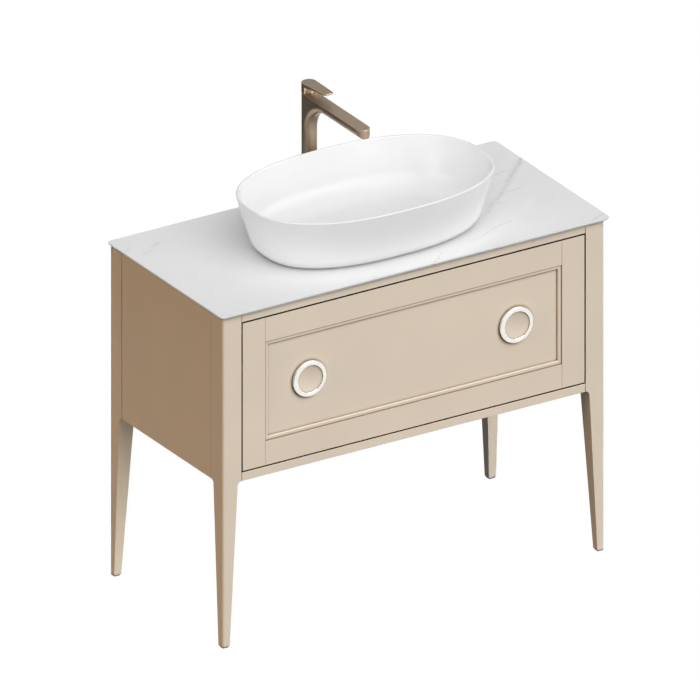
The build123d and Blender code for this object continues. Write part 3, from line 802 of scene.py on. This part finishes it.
class SubAssembly:
    """Solids and added pieces that are built and dressed together."""

    def dress(self, finish: Finish, *nodes: str) -> None:
        """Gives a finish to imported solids.

        Args:
            finish: The look.
            nodes: The solids' names.
        """
        for node in nodes:
            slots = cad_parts[node].data.materials
            slots.clear()
            slots.append(finish.material())
            log.info("dressed %s in %s", node, finish.name)

    def jointed(self, rail: str) -> Lacquer:
        """Draws fine seams where rails of one length meet what holds them.

        Args:
            rail: One of the rails.

        Returns:
            The cabinet's lacquer with a seam at both ends of the rail.
        """
        low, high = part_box(rail)
        ends = Outline((low.x, 0.0), (high.x, ABOVE_ALL), inside=2.2 * MM, outside=0.0)
        return replace(CABINET, name=f"{rail}_lacquer", seams=(ends,))

    def add(self, shape: Shape, name: str, slot: str, finish: Finish) -> None:
        """Makes a new piece of a finished shape, fixed to the stand.

        Args:
            shape: The shape, which is used up.
            name: The piece's name.
            slot: The record's material slot; not used.
            finish: The look.
        """
        bmesh.ops.remove_doubles(shape, verts=shape.verts, dist=0.001 * MM)
        bmesh.ops.recalc_face_normals(shape, faces=shape.faces)
        piece = placed(shape, name, finish.material())
        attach(piece, "vanity")
        log.info("added %s in %s", name, finish.name)

    def thread(self, centre: Vector, radius: float, low: float, high: float, pitch: float) -> Shape:
        """Winds a screw thread round an upright tube.

        Args:
            centre: A point on the tube's axis at height 0.
            radius: The tube's radius.
            low: Height of the thread's start.
            high: Height of its end.
            pitch: Rise of one turn.

        Returns:
            The ridge, closed at both ends.
        """
        shape = bmesh.new()
        half, sink, crest = (pitch * share for share in (THREAD_HALF, THREAD_SINK, THREAD_CREST))
        outline = ((radius - sink, -half), (radius + crest, 0.0), (radius - sink, half))
        foot = centre + Vector((0, 0, low + half))
        corners = [shape.verts.new(foot + Vector((reach, 0, rise))) for reach, rise in outline]
        for start, end in zip(corners, corners[1:] + corners[:1]):
            shape.edges.new((start, end))
        turns = (high - low - 2 * half) / pitch
        steps = round(turns * TURN_STEPS)
        bmesh.ops.spin(
            shape,
            geom=shape.verts[:] + shape.edges[:],
            cent=centre,
            axis=Axis.UPRIGHT.value,
            dvec=(0, 0, turns * pitch / steps),
            angle=math.tau * turns,
            steps=steps,
        )
        ends = [edge for edge in shape.edges if edge.is_boundary]
        bmesh.ops.holes_fill(shape, edges=ends, sides=3)
        return shape

    def ribs(
        self, shape: Shape, middle: Vector, axis: Axis, radius: float, length: float, count: int
    ) -> None:
        """Sets grip ribs round a nut.

        Args:
            shape: The shape that gets them.
            middle: The nut's centre.
            axis: The way the nut lies.
            radius: The nut's radius.
            length: The ribs' length along the axis.
            count: How many ribs go round.
        """
        upright = axis is Axis.UPRIGHT
        size = (RIB_DEPTH, RIB_WIDTH, length) if upright else (RIB_DEPTH, length, RIB_WIDTH)
        rib = bmesh.ops.create_cube(shape, size=1.0)["verts"]
        bmesh.ops.scale(shape, vec=size, verts=rib)
        out = Vector((radius + RIB_DEPTH * RIB_OUT, 0, 0))
        bmesh.ops.translate(shape, vec=middle + out, verts=rib)
        sides = list({edge for vert in rib for edge in vert.link_edges})
        eased = bmesh.ops.bevel(
            shape, geom=sides, offset=RIB_EASE, segments=2, profile=0.5, affect="EDGES", material=-1
        )
        faces = self.joined(eased["faces"])
        parts = {part for face in faces for part in (face, *face.edges, *face.verts)}
        bmesh.ops.spin(
            shape,
            geom=list(parts),
            cent=middle,
            axis=axis.value,
            angle=math.tau * (count - 1) / count,
            steps=count - 1,
            use_duplicate=True,
        )

    def joined(self, faces: list[bmesh.types.BMFace]) -> set[bmesh.types.BMFace]:
        """Finds a whole body from some of its faces.

        Args:
            faces: The faces to start from.

        Returns:
            These and every face that they hang together with.
        """
        found, fresh = set(faces), set(faces)
        while fresh:
            edges = {edge for face in fresh for edge in face.edges}
            fresh = {face for edge in edges for face in edge.link_faces} - found
            found |= fresh
        return found

    def hoop(self, shape: Shape, centre: Vector, radius: float, width: float, depth: float) -> None:
        """Adds a flat upright ring.

        Args:
            shape: The shape that gets it.
            centre: The middle of its upper side.
            radius: The radius of its middle line.
            width: Its width across.
            depth: Its height.
        """
        reaches = (radius - width / 2, radius + width / 2)
        outline = [(reaches[0], 0), (reaches[1], 0), (reaches[1], -depth), (reaches[0], -depth)]
        corners = [shape.verts.new(centre + Vector((reach, 0, rise))) for reach, rise in outline]
        sides = [shape.edges.new(pair) for pair in zip(corners, corners[1:] + corners[:1])]
        bmesh.ops.spin(
            shape,
            geom=corners + sides,
            cent=centre,
            axis=Axis.UPRIGHT.value,
            angle=math.tau,
            steps=HOOP_STEPS,
            use_merge=True,
        )


class Cabinet(SubAssembly):
    """Legs, side panels, rails and the inner boards of the stand."""

    def build(self) -> None:
        """Dresses the stand."""
        self.dress(CABINET, *both("front_{}_leg"), *both("back_{}_leg"), *both("{}_side_panel"))
        self.dress(self.jointed("front_top_rail"), "front_top_rail", "front_bottom_rail")
        self.dress(CARCASS, "back_top_rail", "back_bottom_rail", "bottom_panel", "counter_bearers")
        self.dress(CARCASS, *both("{}_runner_batten"))
        self.dress(ZINC, "slide_outers", *both("{}_slide_middle"))
        self.dress(BLACK_PLASTIC, "leg_glides")


class Drawer(SubAssembly):
    """Panelled front, ring handles and the box behind them."""

    def build(self) -> None:
        """Dresses the drawer."""
        self.dress(CABINET, *both("drawer_{}_stile"), *both("{}_handle_dish"))
        self.dress(CABINET, "drawer_centre_panel")
        self.dress(BEADING, "panel_beads_level", "panel_beads_upright")
        self.dress(self.jointed("drawer_top_rail"), "drawer_top_rail", "drawer_bottom_rail")
        self.dress(RING_CHROME, *both("{}_handle_ring"))
        self.dress(DRAWER_BOX, "drawer_box_front", *both("drawer_{}_side"), "drawer_backs")
        self.dress(DRAWER_BOX, "notch_side_walls", "notch_front_wall", "drawer_bottom")
        self.dress(ZINC, "slide_inners", "handle_bolts")


class StoneTop(SubAssembly):
    """The veined stone."""

    def build(self) -> None:
        """Dresses the stone."""
        self.dress(STONE, "countertop")


class VesselBasin(SubAssembly):
    """The oval basin with its waste and plug."""

    def build(self) -> None:
        """Dresses the basin."""
        self.dress(BASIN_GLAZE, "basin")
        self.dress(CHROME, "waste_body", "waste_plug")
        self.dress(RUBBER, "waste_seal", "waste_washer")
        self.dress(BRASS, "waste_nut")


@dataclass(frozen=True)
class BottleTrap(SubAssembly):
    """Trap, its nuts and its pipe, with grip ribs and the waste's thread."""

    nut_height: float = 28.0 * MM
    grip_height: float = 14.0 * MM
    rib_margin: float = 3.0 * MM
    nut_ribs: int = 26
    cup_ribs: int = 32
    tail_radius: float = 20.5 * MM
    tail_pitch: float = 2.3 * MM

    def build(self) -> None:
        """Dresses the trap and adds its ribs and thread."""
        self.dress(PALE_PLASTIC, "trap_body", "trap_cup", "trap_nuts", "trap_outlet_pipe")
        self.add(self.nut_grips(), "trap_nut_ribs", "white_plastic", PALE_PLASTIC)
        self.add(self.cup_grip(), "trap_cup_ribs", "white_plastic", PALE_PLASTIC)
        self.add(self.tail_thread(), "tail_thread", "polished_chrome", CHROME)

    def nut_grips(self) -> Shape:
        """Makes the grips of the upright nut and of the level one.

        Returns:
            Both rings of ribs.
        """
        low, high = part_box("trap_nuts")
        radius = (high.x - low.x) / 2
        shape = bmesh.new()
        upright = Vector((0, low.y + radius, high.z - self.nut_height / 2))
        level = Vector((0, high.y - self.nut_height / 2, low.z + radius))
        length = self.nut_height - 2 * self.rib_margin
        self.ribs(shape, upright, Axis.UPRIGHT, radius, length, self.nut_ribs)
        self.ribs(shape, level, Axis.LEVEL, radius, length, self.nut_ribs)
        return shape

    def cup_grip(self) -> Shape:
        """Makes the grip round the cup's upper edge.

        Returns:
            The ring of ribs.
        """
        low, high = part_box("trap_cup")
        shape = bmesh.new()
        middle = Vector((0, (low.y + high.y) / 2, high.z - self.grip_height / 2))
        length = self.grip_height - self.rib_margin
        self.ribs(shape, middle, Axis.UPRIGHT, (high.x - low.x) / 2, length, self.cup_ribs)
        return shape

    def tail_thread(self) -> Shape:
        """Makes the thread that shows on the waste's tail, between its nut and the trap's.

        Returns:
            The thread's ridge.
        """
        low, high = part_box("waste_body")
        centre = Vector((0, (low.y + high.y) / 2, 0))
        start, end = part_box("trap_nuts")[1].z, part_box("waste_nut")[0].z
        return self.thread(centre, self.tail_radius, start, end, self.tail_pitch)


@dataclass(frozen=True)
class Mixer(SubAssembly):
    """Spout, lever and shank, with the shank's thread and the aerator's grid."""

    shank_pitch: float = 1.8 * MM
    shank_lead: float = 2.0 * MM
    grid_depth: float = 1.4 * MM
    grid_bar: float = 0.7 * MM
    grid_rings: int = 3
    grid_bars: int = 3

    def build(self) -> None:
        """Dresses the mixer and adds its thread and grid."""
        self.dress(SPOUT_BRONZE, "mixer_body", "lever")
        self.dress(TURNED_BRONZE, "mixer_base_ring", "lever_hub")
        self.dress(BRASS, "mixer_shank", "mixer_nut", "cartridge_nut")
        self.dress(ZINC, "mixer_washer")
        self.dress(BLACK_PLASTIC, "aerator", "cartridge")
        self.add(self.shank_thread(), "shank_thread", "raw_brass", BRASS)
        self.add(self.aerator_grid(), "aerator_grid", "white_plastic", PALE_PLASTIC)

    def shank_thread(self) -> Shape:
        """Makes the thread that shows below the mixer's nut.

        Returns:
            The thread's ridge.
        """
        low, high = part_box("mixer_shank")
        centre = Vector((0, (low.y + high.y) / 2, 0))
        start, end = low.z + self.shank_lead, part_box("mixer_nut")[0].z
        return self.thread(centre, (high.x - low.x) / 2, start, end, self.shank_pitch)

    def aerator_grid(self) -> Shape:
        """Makes the rings and bars in the aerator's mouth.

        Returns:
            The grid.
        """
        low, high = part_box("aerator")
        centre = Vector((0, (low.y + high.y) / 2, low.z))
        reach = (high.x - low.x) / 2
        shape = bmesh.new()
        bar = bmesh.ops.create_cube(shape, size=1.0)["verts"]
        bmesh.ops.scale(shape, vec=(2 * reach, self.grid_bar, self.grid_depth), verts=bar)
        bmesh.ops.translate(shape, vec=centre - Vector((0, 0, self.grid_depth / 2)), verts=bar)
        bmesh.ops.spin(
            shape,
            geom=shape.verts[:] + shape.edges[:] + shape.faces[:],
            cent=centre,
            axis=Axis.UPRIGHT.value,
            angle=math.pi * (self.grid_bars - 1) / self.grid_bars,
            steps=self.grid_bars - 1,
            use_duplicate=True,
        )
        for ring in range(1, self.grid_rings + 1):
            radius = (reach - self.grid_bar) * ring / self.grid_rings
            self.hoop(shape, centre, radius, self.grid_bar, self.grid_depth)
        return shape


@dataclass(frozen=True)
class Sun:
    """A far, soft lamp that lights everything, or only some solids, or all but some."""

    name: str
    way: Colour
    level: float
    spread: float
    colour: Colour = (1.0, 1.0, 1.0)
    only: tuple[str, ...] = ()
    never: tuple[str, ...] = ()

    def build(self) -> None:
        """Adds the lamp, at a level that shows a white face turned to it as that level of white."""
        data = bpy.data.lights.new(self.name, "SUN")
        data.energy = self.level * math.pi
        data.angle = math.radians(self.spread)
        data.color = self.colour
        lamp = bpy.data.objects.new(self.name, data)
        lamp.rotation_mode = "QUATERNION"
        lamp.rotation_quaternion = (-Vector(self.way)).to_track_quat("-Z", "Y")
        bpy.context.scene.collection.objects.link(lamp)
        if self.only or self.never:
            self.share(lamp)

    def share(self, lamp: Piece) -> None:
        """Keeps the lamp to its own solids, as a studio's flags would.

        Args:
            lamp: The lamp's object.
        """
        lit = bpy.data.collections.new(f"lit_by_{self.name}")
        for node in self.only + self.never:
            lit.objects.link(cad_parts[node])
        if self.never:
            for link in lit.collection_objects:
                link.light_linking.link_state = "EXCLUDE"
        lamp.light_linking.receiver_collection = lit


@dataclass(frozen=True)
class Flag:
    """An upright studio board that only gloss and metal show."""

    name: str
    start: Spot
    end: Spot
    height: float
    level: float

    def build(self) -> None:
        """Adds the board, from its start to its end on the floor and up to its height."""
        start, end = Vector((*self.start, 0)), Vector((*self.end, 0))
        shape = bmesh.new()
        foot = shape.edges.new([shape.verts.new(start), shape.verts.new(end)])
        side = bmesh.ops.extrude_edge_only(shape, edges=[foot])
        lifted = [part for part in side["geom"] if isinstance(part, bmesh.types.BMVert)]
        bmesh.ops.translate(shape, verts=lifted, vec=(0, 0, self.height))
        board = placed(shape, self.name, self.glow())
        board.visible_camera = False
        board.visible_diffuse = False
        board.visible_shadow = False
        board.visible_transmission = False

    def glow(self) -> Material:
        """Makes the board's even glow.

        Returns:
            The material.
        """
        material = bpy.data.materials.new(self.name)
        material.use_nodes = True
        graph = NodeGraph(material.node_tree)
        light = graph.add("ShaderNodeEmission")
        light.inputs["Strength"].default_value = self.level
        output = graph.add("ShaderNodeOutputMaterial")
        graph.join(light.outputs["Emission"], output.inputs["Surface"])
        return material


@dataclass(frozen=True)
class Studio:
    """White floor, soft lamps and the photograph's parallel view."""

    suns: tuple[Sun, ...]
    flags: tuple[Flag, ...]
    azimuth: float = -32.0
    elevation: float = 24.56
    view_width: float = 1.5271
    aim: Colour = (-0.0185, 0.1006, 0.4)
    stand_off: float = 4.0
    floor_half: float = 15.0
    floor_colour: Colour = (0.09, 0.087, 0.084)
    floor_white: float = 0.88
    floor_glow: float = 1.13
    sky_strength: float = 0.07

    def build(self) -> None:
        """Sets up the view, the floor, the lamps and the world."""
        bpy.context.scene.view_settings.view_transform = "Standard"
        self.camera()
        self.floor()
        for part in self.suns + self.flags:
            part.build()
        self.world()

    def camera(self) -> None:
        """Adds the camera. Its aim is to the right and up in its own picture, and a height on Z."""
        turn, lift = math.radians(self.azimuth), math.radians(self.elevation)
        away = Vector((math.sin(turn), -math.cos(turn), 0))
        back = away * math.cos(lift) + Vector((0, 0, math.sin(lift)))
        right = Vector((math.cos(turn), math.sin(turn), 0))
        up = back.cross(right)
        aim = Vector((0, 0, self.aim[2])) + right * self.aim[0] + up * self.aim[1]
        data = bpy.data.cameras.new("photo_view")
        data.type = "ORTHO"
        data.ortho_scale = self.view_width
        camera = bpy.data.objects.new("photo_view", data)
        camera.location = aim + back * self.stand_off
        camera.rotation_mode = "QUATERNION"
        camera.rotation_quaternion = (-back).to_track_quat("-Z", "Y")
        bpy.context.scene.collection.objects.link(camera)
        bpy.context.scene.camera = camera

    def floor(self) -> None:
        """Adds the floor, which looks white and keeps a faint shadow."""
        material = bpy.data.materials.new("studio_floor")
        material.use_nodes = True
        graph = NodeGraph(material.node_tree)
        paint = graph.add("ShaderNodeBsdfDiffuse")
        paint.inputs["Color"].default_value = (*self.floor_colour, 1.0)
        white = graph.add("ShaderNodeEmission")
        white.inputs["Strength"].default_value = self.floor_glow
        mix = self.split(graph, paint.outputs["BSDF"], white.outputs["Emission"], self.floor_white)
        output = graph.add("ShaderNodeOutputMaterial")
        graph.join(mix, output.inputs["Surface"])
        shape = bmesh.new()
        bmesh.ops.create_grid(shape, x_segments=1, y_segments=1, size=self.floor_half)
        floor = placed(shape, "floor", material)

    def split(self, graph: NodeGraph, light: Socket, look: Socket, share: float) -> Socket:
        """Parts what the background looks like from how it lights the object.

        Args:
            graph: The background's nodes.
            light: The shader for rays that light the object.
            look: The shader for camera, glossy and transmission rays.
            share: The look's share for those.

        Returns:
            The mixed shader.
        """
        rays = graph.add("ShaderNodeLightPath").outputs
        looking = graph.sums("MAXIMUM", rays["Is Camera Ray"], rays["Is Glossy Ray"])
        looking = graph.sums("MAXIMUM", looking, rays["Is Transmission Ray"])
        mix = graph.add("ShaderNodeMixShader")
        graph.join(graph.sums("MULTIPLY", looking, share), mix.inputs["Fac"])
        graph.join(light, mix.inputs[1])
        graph.join(look, mix.inputs[2])
        return mix.outputs["Shader"]

    def world(self) -> None:
        """Makes the world white to look at and a soft even light on the object."""
        world = bpy.data.worlds.new("studio")
        bpy.context.scene.world = world
        world.use_nodes = True
        graph = NodeGraph(world.node_tree)
        soft, white = graph.add("ShaderNodeBackground"), graph.add("ShaderNodeBackground")
        soft.inputs["Color"].default_value = WHITE
        soft.inputs["Strength"].default_value = self.sky_strength
        white.inputs["Color"].default_value = WHITE
        mix = self.split(graph, soft.outputs["Background"], white.outputs["Background"], 1.0)
        output = graph.add("ShaderNodeOutputWorld")
        graph.join(mix, output.inputs["Surface"])


CERAMICS = ("basin", "waste_body", "waste_plug")
BRONZES = ("mixer_body", "mixer_base_ring", "lever", "lever_hub")
RIGHT_LEGS = ("front_right_leg", "back_right_leg")
UNTINTED = (*CERAMICS, *BRONZES, "countertop", "left_handle_ring", "right_handle_ring")
AMBER, DEEP_AMBER, IVORY = (1.0, 0.71, 0.43), (1.0, 0.66, 0.36), (1.0, 0.96, 0.88)
FROM_LEFT, LOW_FRONT = (-0.92, -0.12, 0.38), (0.1, -0.99, 0.05)
# Stone, glaze, bronze and lacquer have lamps of their own, so that their tones are set apart.
STUDIO = Studio(
    suns=(
        Sun("front", (0.30, -0.72, 0.64), 1.18, 50.0, never=(*CERAMICS, "countertop")),
        Sun("stone", (-0.12, -0.70, 0.70), 1.07, 90.0, only=("countertop",)),
        Sun("stone_left", (-0.99, -0.10, 0.0), 0.16, 8.0, only=("countertop",)),
        Sun("left", FROM_LEFT, 0.40, 18.0, AMBER, never=(*UNTINTED, *RIGHT_LEGS)),
        Sun("right_leg_left", FROM_LEFT, 0.26, 18.0, DEEP_AMBER, only=("front_right_leg",)),
        Sun("right_leg_front", LOW_FRONT, 0.20, 30.0, IVORY, only=("back_right_leg",)),
        Sun("back", (0.25, 0.96, 0.10), 0.40, 60.0, never=BRONZES),
        Sun("rear_leg_fill", LOW_FRONT, 0.80, 30.0, IVORY, only=("back_left_leg",)),
        Sun("bronze_front", (0.5, -0.85, 0.08), 1.0, 60.0, only=("mixer_body", "mixer_base_ring")),
        Sun("basin_front", (0.0, -0.85, 0.53), 0.38, 60.0, only=CERAMICS),
        Sun("basin_left", (-0.93, -0.30, 0.20), 0.49, 60.0, only=CERAMICS),
        Sun("basin_right", (0.75, -0.62, 0.15), 0.55, 60.0, only=CERAMICS),
        Sun("basin_top", (0.0, 0.0, 1.0), 0.31, 100.0, only=CERAMICS),
    ),
    flags=(
        Flag("dark_back", (-2.5, 1.6), (-0.1, 1.6), 1.3, 0.02),
        Flag("dark_left", (-1.5, -0.6), (-1.5, 1.6), 1.3, 0.02),
        Flag("grey_back", (-0.1, 2.2), (4.0, 2.2), 2.8, 0.47),
    ),
)


def main() -> None:
    """Builds and dresses the sub-assemblies in order, then the studio."""
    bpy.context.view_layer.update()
    for part in (Cabinet(), Drawer(), StoneTop(), VesselBasin(), BottleTrap(), Mixer()):
        part.build()
        log.info("built the %s", type(part).__name__)
    STUDIO.build()
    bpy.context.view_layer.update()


if __name__ == "__main__":
    logging.basicConfig(level=logging.INFO, format="%(name)s: %(message)s")
    main()
